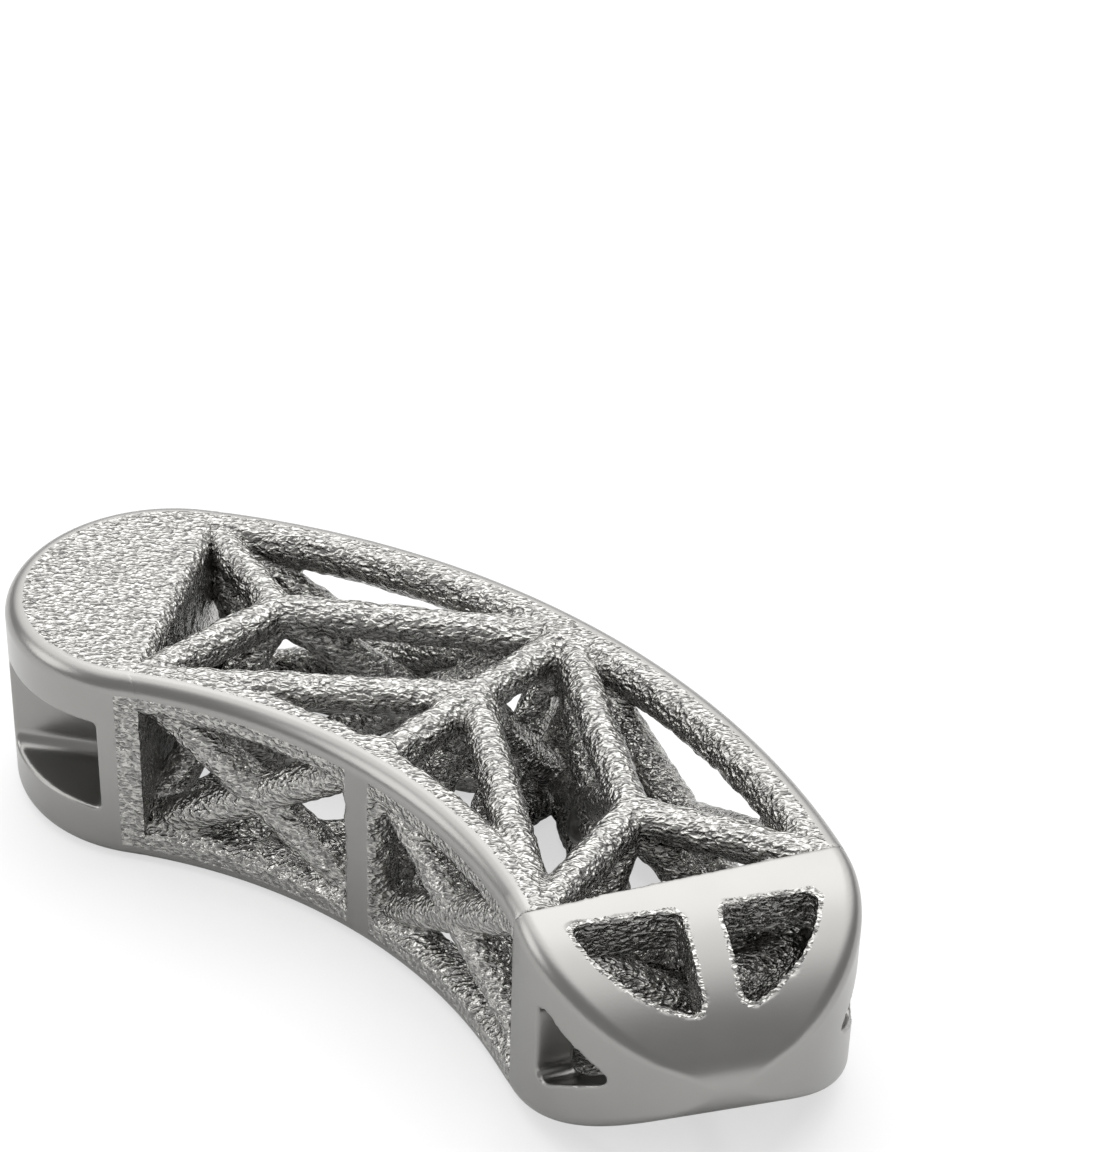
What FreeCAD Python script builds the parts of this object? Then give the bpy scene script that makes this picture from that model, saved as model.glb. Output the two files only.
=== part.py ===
import FreeCAD, Part
import math
import os

import Sketcher
from FreeCAD import Placement, Rotation, Vector

# Curved spinal interbody cage, built up as one open metal truss.
# Seen from above it is a banana: +X runs from the tail to the nose, the concave wall faces -Y,
# and the two flat endplate faces lie square to Z. The origin is under the middle of the form,
# on the lower endplate face. Lengths are in millimetres, angles in degrees.

SIZES = (
    ("cage_length", 31.2, "over the two round ends, before the nose is tapered"),
    ("cage_height", 7.0, "between the endplate faces"),
    ("mid_width", 10.35, "concave wall to convex wall at the middle"),
    ("end_radius", 5.06, "round ends seen from above"),
    ("end_rise", 2.35, "end centres, forward of the middle of the concave wall"),
    ("rim_rounding", 0.58, "smooth rounding along both endplate edges"),
    ("rim_depth", 0.65, "axis of a rim bar, in from the wall and from the face"),
    ("rim_radius", 0.75, "rim bars, to the flats of their section"),
    ("rim_run_in", 0.2, "rim bars, past the end centres into both blocks"),
    ("post_radius", 0.8, "upright bar in the middle of a wall, to its flats"),
    ("tail_wall", 0.6, "inner face of the tail block, inboard of the end centre"),
    ("tail_edge", 0.5, "rounded edge of the tail block above the truss"),
    ("nose_wall", 0.15, "rear face of the nose shell, inboard of the end centre"),
    ("strut_diameter", 1.2, "struts of the endplate faces and of the inner panels"),
    ("brace_diameter", 1.25, "crossed braces in the two walls"),
    ("strut_cover", 0.06, "tops of the struts, under the endplate face"),
    ("hub_growth", 0.02, "hub of a joint, wider than its struts all round"),
    ("hub_inset", 0.08, "hub of a joint, lower than its struts above and below"),
    ("bead_radius", 0.85, "bead under one crossing of the inner panels, to its flats"),
    ("bead_height", 1.3, "height of the bead"),
    ("bead_level", 2.45, "middle of the bead, above the lower face"),
    ("joint_depth", 0.8, "joints along the rims, in from the wall"),
    ("corner_reach", 0.3, "corner joints, inboard of the end centre"),
    ("concave_brace_depth", 1.15, "ends of the concave wall's braces, in from the wall"),
    ("convex_brace_depth", 0.7, "ends of the convex wall's braces, in from the wall"),
    ("mid_joint", 5.27, "joint on the middle line, from the concave wall"),
    ("tail_joint_x", 7.72, "inner joint of the tail half, from the middle line"),
    ("tail_joint_y", 4.52, "the same joint, forward of the concave wall's middle"),
    ("nose_joint_x", 7.11, "inner joint of the nose half, from the middle line"),
    ("nose_joint_y", 4.18, "the same joint, forward of the concave wall's middle"),
    ("nose_skew", 4.8, "turn of the nose's taper past the square of its end"),
    ("taper_start", -0.6, "where the nose begins to fall, from the end centre"),
    ("taper_lead", 3.0, "first slope of the taper"),
    ("tip_radius", 1.6, "round tip in side view"),
    ("tip_relief", 0.02, "tip, short of the round end"),
    ("shell_wall", 1.1, "side wall of the hollow nose"),
    ("shell_plate", 1.3, "upper and lower plates of the hollow nose"),
    ("window_rim", 1.26, "rim left outside the nose's endplate windows"),
    ("window_start", 1.0, "rear edge of those windows, from the end centre"),
    ("web_width", 1.16, "web between the two windows"),
    ("web_shift", 0.15, "middle of the web, towards the convex side"),
    ("window_corner", 0.3, "rounded corners of every nose window"),
    ("port_start", 1.45, "rear edge of the side ports, from the end centre"),
    ("port_length", 2.35, "length of a side port along the nose"),
    ("port_height", 3.2, "height of a side port at its rear edge"),
    ("grip_start", 0.86, "inboard end of the tail's side recesses, which run out at the round end"),
    ("grip_half_core", 2.16, "floor of a side recess, from the tail's axis"),
    ("grip_height", 3.3, "side recess, top to bottom"),
    ("bore_radius", 1.4, "inserter bore in the tail"),
    ("bore_length", 4.2, "wall of the inserter bore"),
)

TINY = 0.001

doc = FreeCAD.newDocument("interbody_cage")
sizes = doc.addObject("Spreadsheet::Sheet", "sizes")
for row, (name, number, note) in enumerate(SIZES, start=1):
    sizes.set(f"A{row}", str(number))
    sizes.set(f"B{row}", note)
    sizes.setAlias(f"A{row}", name)
doc.recompute()

# Derived places, each written once as an expression of the named sizes.
END_X = "(sizes.cage_length / 2 - sizes.end_radius)"
MID_Y = "((sizes.mid_width + sizes.end_rise - sizes.end_radius) / 2)"
END_BACK = f"({MID_Y} - sizes.end_rise)"
DROP = "(sizes.mid_width - sizes.end_rise)"
CONCAVE_RADIUS = (
    f"(({END_X}^2 + sizes.end_rise^2 - sizes.end_radius^2)"
    " / (2 * (sizes.end_radius - sizes.end_rise)))"
)
CONVEX_RADIUS = f"(({END_X}^2 + {DROP}^2 - sizes.end_radius^2) / (2 * ({DROP} - sizes.end_radius)))"
BLOCK_ANGLE = (
    f"atan2({END_X}; sizes.end_rise + ({CONCAVE_RADIUS} + {CONVEX_RADIUS} - sizes.mid_width) / 2)"
)
MIDDLE = "(sizes.cage_height / 2)"
LOW = "(sizes.strut_diameter / 2 + sizes.strut_cover)"
HIGH = f"(sizes.cage_height - {LOW})"
FAR = "(sizes.end_radius + sizes.cage_height)"

# Each end has a frame of its own: its centre, and the turn of its outward axis about Z.
# The nose's taper and its windows lie askew by a few degrees.
FRAMES = {
    "nose": (END_X, f"(-{BLOCK_ANGLE})"),
    "tip": (END_X, f"(-({BLOCK_ANGLE} + sizes.nose_skew * 1 deg))"),
    "tail": (f"(-{END_X})", f"({BLOCK_ANGLE} - 180 deg)"),
}


def value(expression):
    """Number that an expression of the sizes has now."""
    result = sizes.evalExpression(expression)
    return result.Value if hasattr(result, "Value") else float(result)


height = value("sizes.cage_height")
end_radius = value("sizes.end_radius")
end_x = value(END_X)
end_y = -value(END_BACK)
concave_y = -value(MID_Y)
convex_y = value("sizes.mid_width") + concave_y
concave_radius = value(CONCAVE_RADIUS)
convex_radius = value(CONVEX_RADIUS)
concave_centre = (0.0, concave_y - concave_radius)
convex_centre = (0.0, convex_y - convex_radius)
far = value(FAR)


def start_sketch(body, name, role):
    """Sketch on one of the body's own origin planes."""
    sketch = body.newObject("Sketcher::SketchObject", name)
    plane = [item for item in body.Origin.OriginFeatures if item.Role == role][0]
    sketch.AttachmentSupport = [(plane, "")]
    sketch.MapMode = "FlatFace"
    return sketch


def name_size(sketch, name, constraint, expression):
    """Add a named dimension to a sketch and bind it to the sizes."""
    index = sketch.addConstraint(constraint)
    sketch.renameConstraint(index, name)
    sketch.setExpression(f"Constraints.{name}", expression)


def plan_arc(centre, radius, first, last):
    """Arc of a circle in a sketch, anticlockwise from the first angle to the last."""
    circle = Part.Circle(Vector(centre[0], centre[1], 0), Vector(0, 0, 1), radius)
    return Part.ArcOfCircle(circle, math.radians(first), math.radians(last))


def line(first, last):
    """Straight side of a sketch."""
    return Part.LineSegment(Vector(first[0], first[1], 0), Vector(last[0], last[1], 0))


def join(sketch, count):
    """Close a ring of sides that follow each other."""
    for side in range(count):
        following = (side + 1) % count
        sketch.addConstraint(Sketcher.Constraint("Coincident", side, 2, following, 1))


def raise_outline(name):
    """Body of the plan outline, raised between the endplate faces.

    The outline is four arcs, each tangent to the next: concave wall, nose, convex wall, tail.
    """
    body = doc.addObject("PartDesign::Body", name)
    outline = start_sketch(body, name + "_outline", "XY_Plane")
    toward_nose = math.degrees(math.atan2(end_y - concave_centre[1], end_x))
    toward_crown = math.degrees(math.atan2(end_y - convex_centre[1], end_x))
    nose_centre, tail_centre = (end_x, end_y), (-end_x, end_y)
    outline.addGeometry(plan_arc(concave_centre, concave_radius, toward_nose, 180 - toward_nose))
    outline.addGeometry(plan_arc(nose_centre, end_radius, toward_nose - 180, toward_crown))
    outline.addGeometry(plan_arc(convex_centre, convex_radius, toward_crown, 180 - toward_crown))
    outline.addGeometry(plan_arc(tail_centre, end_radius, 180 - toward_crown, 360 - toward_nose))
    concave, nose, convex, tail = range(4)
    outline.addConstraint(Sketcher.Constraint("Tangent", concave, 1, nose, 1))
    outline.addConstraint(Sketcher.Constraint("Tangent", nose, 2, convex, 1))
    outline.addConstraint(Sketcher.Constraint("Tangent", convex, 2, tail, 1))
    outline.addConstraint(Sketcher.Constraint("Tangent", tail, 2, concave, 2))
    outline.addConstraint(Sketcher.Constraint("Equal", nose, tail))
    outline.addConstraint(Sketcher.Constraint("Symmetric", nose, 3, tail, 3, -2))
    for side, size, expression, radius in (
        (concave, "concave", CONCAVE_RADIUS, concave_radius),
        (convex, "convex", CONVEX_RADIUS, convex_radius),
        (nose, "round_end", "sizes.end_radius", end_radius),
    ):
        name_size(outline, size, Sketcher.Constraint("Radius", side, radius), expression)
    name_size(outline, "reach", Sketcher.Constraint("DistanceX", -1, 1, nose, 3, end_x), END_X)
    name_size(outline, "back", Sketcher.Constraint("DistanceY", nose, 3, -1, 1, -end_y), END_BACK)
    raised = body.newObject("PartDesign::Pad", name + "_raised")
    raised.Profile = outline
    raised.setExpression("Length", "sizes.cage_height")
    doc.recompute()
    return body


def plan_point(frame, along, across):
    """Expressions for a plan point, outward along an end's axis and across it to the left."""
    centre, turn = FRAMES[frame]
    return (
        f"({centre} + {along} * cos({turn}) - {across} * sin({turn}))",
        f"(-{END_BACK} + {along} * sin({turn}) + {across} * cos({turn}))",
    )


def bind(item, **expressions):
    """Bind several sizes of one item."""
    for size, expression in expressions.items():
        item.setExpression(size, expression)


def seat(item, point, low, turn="0"):
    """Place an item at a plan point and a height, turned about Z."""
    item.Placement = Placement(Vector(), Rotation(Vector(0, 0, 1), value(turn)))
    for axis, expression in zip("xyz", (*point, low)):
        item.setExpression(f"Placement.Base.{axis}", expression)
    item.setExpression("Placement.Rotation.Angle", turn)
    return item


def stand(sketch, frame):
    """Stand a sketch of the XZ plane in an end centre, along that end's axis."""
    centre, turn = FRAMES[frame]
    sketch.AttachmentOffset = Placement(Vector(), Rotation(Vector(0, 1, 0), value(turn)))
    sketch.setExpression("AttachmentOffset.Base.x", centre)
    sketch.setExpression("AttachmentOffset.Base.z", END_BACK)
    sketch.setExpression("AttachmentOffset.Rotation.Angle", turn)


def cut_to_side_view(body, inset, rear):
    """Cut away all that lies outside the nose's side view, moved in by a wall.

    A flat top falls along a large arc into a small round tip, and the same below. Distances run
    from the end centre and from the lower face; rear lists the corners behind the upper arc.
    """
    lead = math.radians(value("sizes.taper_lead"))
    start = value("sizes.taper_start")
    tip_radius = value("sizes.tip_radius")
    tip = (value("sizes.end_radius - sizes.tip_relief - sizes.tip_radius"), height / 2)
    fall = tip[0] - start
    radius = (fall**2 + height**2 / 4 - tip_radius**2) / (
        height * math.cos(lead) - 2 * tip_radius - 2 * fall * math.sin(lead)
    )
    upper = (start - radius * math.sin(lead), height - radius * math.cos(lead))
    lower = (upper[0], height - upper[1])
    first = 90 - math.degrees(lead)
    meet = math.degrees(math.atan2(tip[1] - upper[1], tip[0] - upper[0]))

    view = start_sketch(body, body.Name + "_view", "XZ_Plane")
    view.addGeometry(plan_arc(lower, radius - inset, -first, -meet))
    view.addGeometry(plan_arc(tip, tip_radius - inset, -meet, meet))
    view.addGeometry(plan_arc(upper, radius - inset, meet, first))
    over = [*rear, (far, height + far), (far, -far)]
    under = [(along, height - up) for along, up in reversed(rear)]
    top, bottom = view.getPoint(2, 2), view.getPoint(0, 1)
    ring = [(top.x, top.y), *over, *under, (bottom.x, bottom.y)]
    for begin, end in zip(ring[:-1], ring[1:]):
        view.addGeometry(line(begin, end))
    join(view, len(ring) + 2)
    stand(view, "tip")
    taper = body.newObject("PartDesign::Pocket", body.Name + "_taper")
    taper.Profile = view
    taper.SideType = "Symmetric"
    taper.setExpression("Length", f"4 * {FAR}")
    doc.recompute()
    return taper


def side_body(name, frame, corners, rounded=(), rounding=None):
    """Solid right across an end, with the given corners in side view, some of them rounded."""
    body = doc.addObject("PartDesign::Body", name)
    view = start_sketch(body, name + "_view", "XZ_Plane")
    points = [(value(along), value(up)) for along, up in corners]
    for first, last in zip(points, points[1:] + points[:1]):
        view.addGeometry(line(first, last))
    join(view, len(points))
    for side, (along, up) in enumerate(corners):
        reach, level = points[side]
        name_size(view, f"along{side}", Sketcher.Constraint("DistanceX", -1, 1, side, 1, reach), along)
        name_size(view, f"up{side}", Sketcher.Constraint("DistanceY", -1, 1, side, 1, level), up)
    stand(view, frame)
    across = body.newObject("PartDesign::Pad", name + "_across")
    across.Profile = view
    across.SideType = "Symmetric"
    across.setExpression("Length", f"2 * {FAR}")
    doc.recompute()
    if not rounded:
        return body
    centre = Vector(*(value(place) for place in plan_point(frame, "0", "0")), 0)
    turn = math.radians(value(FRAMES[frame][1]))
    outward = Vector(math.cos(turn), math.sin(turn), 0)
    chosen = []
    for number, edge in enumerate(across.Shape.Edges, start=1):
        middle = edge.CenterOfMass
        spot = ((middle - centre).dot(outward), middle.z)
        if any(math.dist(spot, points[corner]) < TINY for corner in rounded):
            chosen.append(f"Edge{number}")
    fillet = body.newObject("PartDesign::Fillet", name + "_rounding")
    fillet.Base = (across, chosen)
    fillet.setExpression("Radius", rounding)
    doc.recompute()
    return body


def combine(kind, name, *items):
    """Boolean of two or more items."""
    result = doc.addObject(kind, name)
    if kind == "Part::Cut":
        result.Base, result.Tool = items
    else:
        result.Shapes = list(items)
    doc.recompute()
    return result


def named_edges(shape, wanted):
    """Names of a shape's edges that meet a test."""
    return [f"Edge{number}" for number, edge in enumerate(shape.Edges, start=1) if wanted(edge)]


# The nose falls away above and below towards its tip, and smooth rounding runs along every edge
# of its endplate faces, the tip included.
nose_form = raise_outline("nose_form")
start_of_taper = value("sizes.taper_start")
taper = cut_to_side_view(nose_form, 0.0, [(start_of_taper, height + far)])
rounding = nose_form.newObject("PartDesign::Fillet", "nose_rounding")
rounding.Base = (taper, named_edges(taper.Shape, lambda edge: edge.BoundBox.ZLength < height - TINY))
rounding.setExpression("Radius", "sizes.rim_rounding")
doc.recompute()

# Behind the nose the same rounding is broken into two flats, each tangent to the round that it
# stands for: a steep one next to the wall, then one next to the face.
form = raise_outline("form")
sharp_form = form.Tip
EDGE_REACH = "sizes.rim_rounding * (1 - tan(15 deg))"
steep = form.newObject("PartDesign::Chamfer", "steep_flat")
steep.Base = (sharp_form, named_edges(sharp_form.Shape, lambda edge: edge.BoundBox.ZLength < TINY))
steep.ChamferType = "Two distances"
steep.setExpression("Size", EDGE_REACH)
steep.setExpression("Size2", f"{EDGE_REACH} * tan(30 deg)")
doc.recompute()
shallow = form.newObject("PartDesign::Chamfer", "shallow_flat")
shallow.Base = (
    steep,
    named_edges(steep.Shape, lambda edge: abs(edge.BoundBox.Center.z - height / 2) > height / 2 - TINY),
)
shallow.setExpression("Size", f"{EDGE_REACH} * (1 - tan(30 deg))")
doc.recompute()
cut_to_side_view(form, 0.0, [(start_of_taper, height + far)])

# Tail block: solid, with a rounded edge over the truss, a recess in each side for the inserter's
# jaws, and a bore for its rod along the tail's axis.
tail_zone = side_body(
    "tail_zone",
    "tail",
    (
        ("-sizes.tail_wall", "0"),
        (FAR, "0"),
        (FAR, "sizes.cage_height"),
        ("-sizes.tail_wall", "sizes.cage_height"),
    ),
    (0, 3),
    "sizes.tail_edge",
)
grip_low = f"{MIDDLE} - sizes.grip_height / 2"
grip_high = f"{MIDDLE} + sizes.grip_height / 2"
grip_span = side_body(
    "grip_span",
    "tail",
    (
        ("sizes.grip_start", grip_low),
        (FAR, grip_low),
        (FAR, grip_high),
        ("sizes.grip_start", grip_high),
    ),
)
core = doc.addObject("Part::Box", "grip_core")
bind(core, Length=f"2 * {FAR}", Width="2 * sizes.grip_half_core", Height="sizes.cage_height")
seat(core, plan_point("tail", f"(-{FAR})", "(-sizes.grip_half_core)"), "0", FRAMES["tail"][1])
grips = combine("Part::Cut", "grips", grip_span, core)
bore = doc.addObject("Part::Cylinder", "inserter_bore")
bind(bore, Radius="sizes.bore_radius", Height=FAR)
bore_floor = plan_point("tail", "(sizes.end_radius - sizes.bore_length)", "0")
tail_turn = math.radians(value(FRAMES["tail"][1]))
outward = Vector(math.cos(tail_turn), math.sin(tail_turn), 0)
bore.Placement = Placement(
    Vector(*(value(place) for place in bore_floor), value(MIDDLE)), Rotation(Vector(0, 0, 1), outward)
)
tail_solid = combine("Part::MultiCommon", "tail_solid", form, tail_zone)
tail_gripped = combine("Part::Cut", "tail_gripped", tail_solid, grips)
tail_block = combine("Part::Cut", "tail_block", tail_gripped, bore)

# Nose block: a hollow shell, open to the rear. Two windows with a web between them open it above
# and below, and a rounded triangular port opens it on each side.
nose_zone = doc.addObject("Part::Box", "nose_zone")
bind(nose_zone, Length=FAR, Width=f"2 * {FAR}", Height="sizes.cage_height")
seat(nose_zone, plan_point("nose", "(-sizes.nose_wall)", f"(-{FAR})"), "0", FRAMES["nose"][1])
nose_solid = combine("Part::MultiCommon", "nose_solid", nose_form, nose_zone)

hollow = doc.addObject("PartDesign::Body", "hollow")
ring = start_sketch(hollow, "hollow_ring", "XY_Plane")
inner_radius = value("sizes.end_radius - sizes.shell_wall")
ring.addGeometry(Part.Circle(Vector(end_x, end_y, 0), Vector(0, 0, 1), inner_radius))
name_size(ring, "bore", Sketcher.Constraint("Radius", 0, inner_radius), "sizes.end_radius - sizes.shell_wall")
name_size(ring, "reach", Sketcher.Constraint("DistanceX", -1, 1, 0, 3, end_x), END_X)
name_size(ring, "back", Sketcher.Constraint("DistanceY", 0, 3, -1, 1, -end_y), END_BACK)
hollow_full = hollow.newObject("PartDesign::Pad", "hollow_full")
hollow_full.Profile = ring
hollow_full.setExpression("Length", "sizes.cage_height")
doc.recompute()
plate = value("sizes.shell_plate")
cut_to_side_view(hollow, plate, [(-far, height - plate), (-far, height + far)])

window_round = doc.addObject("Part::Cylinder", "window_round")
bind(window_round, Radius="sizes.end_radius - sizes.window_rim", Height="sizes.cage_height")
seat(window_round, plan_point("nose", "0", "0"), "0")
windows = []
for name, across in (
    ("convex_window", "(sizes.web_shift + sizes.web_width / 2)"),
    ("concave_window", f"(sizes.web_shift - sizes.web_width / 2 - {FAR})"),
):
    pane = doc.addObject("Part::Box", name + "_pane")
    bind(pane, Length=FAR, Width=FAR, Height="sizes.cage_height")
    seat(pane, plan_point("tip", "sizes.window_start", across), "0", FRAMES["tip"][1])
    sharp = combine("Part::MultiCommon", name + "_sharp", window_round, pane)
    corner = value("sizes.window_corner")
    window = doc.addObject("Part::Fillet", name)
    window.Base = sharp
    window.Edges = [
        (number, corner, corner)
        for number, edge in enumerate(sharp.Shape.Edges, start=1)
        if edge.BoundBox.ZLength > height - TINY
    ]
    doc.recompute()
    windows.append(window)
ports = side_body(
    "side_ports",
    "nose",
    (
        ("sizes.port_start", f"{MIDDLE} - sizes.port_height / 2"),
        ("sizes.port_start + sizes.port_length", MIDDLE),
        ("sizes.port_start", f"{MIDDLE} + sizes.port_height / 2"),
    ),
    (0, 1, 2),
    "sizes.window_corner",
)
nose_block = nose_solid
for name, tool in (
    ("hollow_nose", hollow),
    ("half_open_nose", windows[0]),
    ("open_nose", windows[1]),
    ("nose_block", ports),
):
    nose_block = combine("Part::Cut", name, nose_block, tool)

# Joints of the truss in plan. Each has a twin at the lower face and one at the upper face.
JOINT_REACH = "(sizes.end_radius - sizes.joint_depth)"
CONCAVE_REACH = "(sizes.end_radius - sizes.concave_brace_depth)"
CONVEX_REACH = "(sizes.end_radius - sizes.convex_brace_depth)"
INBOARD = "(-sizes.corner_reach)"
CROWN = f"(sizes.mid_width - {MID_Y})"
JOINTS = {
    "tail_convex": plan_point("tail", INBOARD, f"(-{JOINT_REACH})"),
    "tail_concave": plan_point("tail", INBOARD, JOINT_REACH),
    "tail_inner": ("(-sizes.tail_joint_x)", f"(sizes.tail_joint_y - {MID_Y})"),
    "mid_convex": ("0", f"({CROWN} - sizes.joint_depth)"),
    "mid_inner": ("0", f"(sizes.mid_joint - {MID_Y})"),
    "mid_concave": ("0", f"(sizes.joint_depth - {MID_Y})"),
    "nose_inner": ("sizes.nose_joint_x", f"(sizes.nose_joint_y - {MID_Y})"),
    "nose_convex": plan_point("nose", INBOARD, JOINT_REACH),
    "nose_concave": plan_point("nose", INBOARD, f"(-{JOINT_REACH})"),
}
BRACE_ENDS = {
    "tail_concave_brace": plan_point("tail", INBOARD, CONCAVE_REACH),
    "mid_concave_brace": ("0", f"(sizes.concave_brace_depth - {MID_Y})"),
    "nose_concave_brace": plan_point("nose", INBOARD, f"(-{CONCAVE_REACH})"),
    "tail_convex_brace": plan_point("tail", INBOARD, f"(-{CONVEX_REACH})"),
    "mid_convex_brace": ("0", f"({CROWN} - sizes.convex_brace_depth)"),
    "nose_convex_brace": plan_point("nose", INBOARD, CONVEX_REACH),
}
PLACES = {**JOINTS, **BRACE_ENDS}

# Struts that lie in both endplate faces, and upright panels that are crossed from face to face.
FACE_STRUTS = (
    ("tail_convex", "tail_inner"),
    ("tail_concave", "tail_inner"),
    ("tail_inner", "mid_convex"),
    ("tail_concave", "mid_inner"),
    ("mid_inner", "mid_convex"),
    ("mid_inner", "mid_concave"),
    ("mid_inner", "nose_concave"),
    ("mid_convex", "nose_inner"),
    ("nose_inner", "nose_concave"),
    ("nose_inner", "nose_convex"),
)
CROSSED_PANELS = (
    ("tail_convex", "tail_inner"),
    ("tail_concave", "tail_inner"),
    ("tail_inner", "mid_convex"),
    ("mid_inner", "mid_convex"),
    ("mid_inner", "mid_concave"),
    ("mid_convex", "nose_inner"),
    ("nose_inner", "nose_convex"),
    ("nose_inner", "nose_concave"),
    ("nose_concave", "nose_convex"),
)
CROSSED_WALLS = (
    ("tail_concave_brace", "mid_concave_brace"),
    ("mid_concave_brace", "nose_concave_brace"),
    ("tail_convex_brace", "mid_convex_brace"),
    ("mid_convex_brace", "nose_convex_brace"),
)


SIDES = 8
HALF_SIDE = Rotation(Vector(0, 0, 1), 180 / SIDES)


def octagon(kind, name, diameter):
    """Item with a regular eight-sided section, measured across its flats."""
    item = doc.addObject(kind, name)
    item.Polygon = SIDES
    item.setExpression("Circumradius", f"{diameter} / 2 / cos(180 deg / {SIDES})")
    return item


def bar(first, first_level, last, last_level, diameter):
    """Bar from one joint to another, each at its own level, with a flat of its section on top."""
    begin = (*PLACES[first], first_level)
    end = (*PLACES[last], last_level)
    squares = " + ".join(f"({far_end} - {near_end})^2" for near_end, far_end in zip(begin, end))
    levels = "low" if first_level == LOW else "high", "low" if last_level == LOW else "high"
    strut = octagon("Part::Prism", f"{first}_{levels[0]}_to_{last}_{levels[1]}", diameter)
    strut.setExpression("Height", f"sqrt({squares})")
    origin = Vector(*(value(place) for place in begin))
    direction = Vector(*(value(place) for place in end)) - origin
    level_side = direction.cross(Vector(0, 0, 1))
    upright = Rotation(level_side, direction.cross(level_side), direction, "ZXY")
    strut.Placement = Placement(origin, upright * HALF_SIDE)
    return strut


bars = []
for first, last in FACE_STRUTS:
    for level in (LOW, HIGH):
        bars.append(bar(first, level, last, level, "sizes.strut_diameter"))
for panels, diameter in (
    (CROSSED_PANELS, "sizes.strut_diameter"),
    (CROSSED_WALLS, "sizes.brace_diameter"),
):
    for first, last in panels:
        bars.append(bar(first, LOW, last, HIGH, diameter))
        bars.append(bar(first, HIGH, last, LOW, diameter))
HUB_HEIGHT = "(sizes.strut_diameter - 2 * sizes.hub_inset)"
HUB_WIDTH = "(sizes.strut_diameter + 2 * sizes.hub_growth)"
for name, place in JOINTS.items():
    for level, middle in (("low", LOW), ("high", HIGH)):
        hub = octagon("Part::Prism", f"{name}_{level}_hub", HUB_WIDTH)
        hub.setExpression("Height", HUB_HEIGHT)
        bars.append(seat(hub, place, f"{middle} - {HUB_HEIGHT} / 2"))

# A bead sits under the crossing of one inner panel in the nose half.
bead = octagon("Part::Prism", "crossing_bead", "(2 * sizes.bead_radius)")
bind(bead, Height="sizes.bead_height")
bead_place = tuple(
    f"({near} + {far_end}) / 2"
    for near, far_end in zip(JOINTS["mid_convex"], JOINTS["nose_inner"])
)
bars.append(seat(bead, bead_place, "(sizes.bead_level - sizes.bead_height / 2)"))

# Rim bars follow both walls, just inside the four long edges, and run into both blocks.
# One upright bar stands in the middle of each wall, with a flat of its section on the wall.
RIMS = {
    "concave": (CONCAVE_RADIUS, f"(-{MID_Y} - {CONCAVE_RADIUS})", "sizes.rim_depth"),
    "convex": (CONVEX_RADIUS, f"({CROWN} - {CONVEX_RADIUS})", "(-sizes.rim_depth)"),
}
RIM_LEVELS = (("low", "sizes.rim_depth"), ("high", "(sizes.cage_height - sizes.rim_depth)"))
edging = []
for name, (wall_radius, centre, inward) in RIMS.items():
    run_in = f"sizes.rim_run_in / {wall_radius} * 1 rad"
    half_turn = f"(atan2({END_X}; -{END_BACK} - {centre}) + {run_in})"
    for level, low in RIM_LEVELS:
        section = octagon("Part::RegularPolygon", f"{name}_{level}_section", "(2 * sizes.rim_radius)")
        section.Placement = Placement(Vector(), Rotation(Vector(0, 1, 0), 90) * HALF_SIDE)
        section.setExpression("Placement.Base.y", f"{centre} + {wall_radius} + {inward}")
        section.setExpression("Placement.Base.z", low)
        rim = doc.addObject("Part::Revolution", f"{name}_rim_{level}")
        rim.Source = section
        rim.Axis = Vector(0, 0, 1)
        rim.Solid = True
        rim.Symmetric = True
        rim.setExpression("Base.y", centre)
        rim.setExpression("Angle", f"2 * {half_turn}")
        edging.append(rim)
for name, place in (
    ("concave", f"(sizes.rim_depth - {MID_Y})"),
    ("convex", f"({CROWN} - sizes.rim_depth)"),
):
    post = octagon("Part::Prism", name + "_post", "(2 * sizes.post_radius)")
    post.setExpression("Height", "sizes.cage_height")
    edging.append(seat(post, ("0", place), "0", f"180 deg / {SIDES}"))

lattice = combine("Part::MultiFuse", "lattice", *bars, *edging)
truss = combine("Part::MultiCommon", "truss", lattice, form)
cage = combine("Part::MultiFuse", "cage", truss, tail_block, nose_block)
cage.Label = "interbody_cage"

for item in doc.Objects:
    if {"Invalid", "Error"} & set(item.State):
        raise RuntimeError(f"{item.Label} failed: {item.State}")
shape = cage.Shape
if shape.isNull() or not shape.isValid() or len(shape.Solids) != 1:
    raise RuntimeError("the cage is not one valid solid")

os.makedirs("parts", exist_ok=True)
shape.exportStep(f"parts/{cage.Label}.step")
box = shape.BoundBox
print(f"{cage.Label}: {box.XLength:.2f} x {box.YLength:.2f} x {box.ZLength:.2f} mm, {shape.Volume:.1f} mm3")
print(f"from {box.XMin:.2f} {box.YMin:.2f} {box.ZMin:.2f} to {box.XMax:.2f} {box.YMax:.2f} {box.ZMax:.2f}")
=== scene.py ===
import math

import bmesh
import bpy
import numpy as np
from bpy.props import FloatProperty, FloatVectorProperty, PointerProperty
from mathutils import Matrix, Vector, noise


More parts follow.
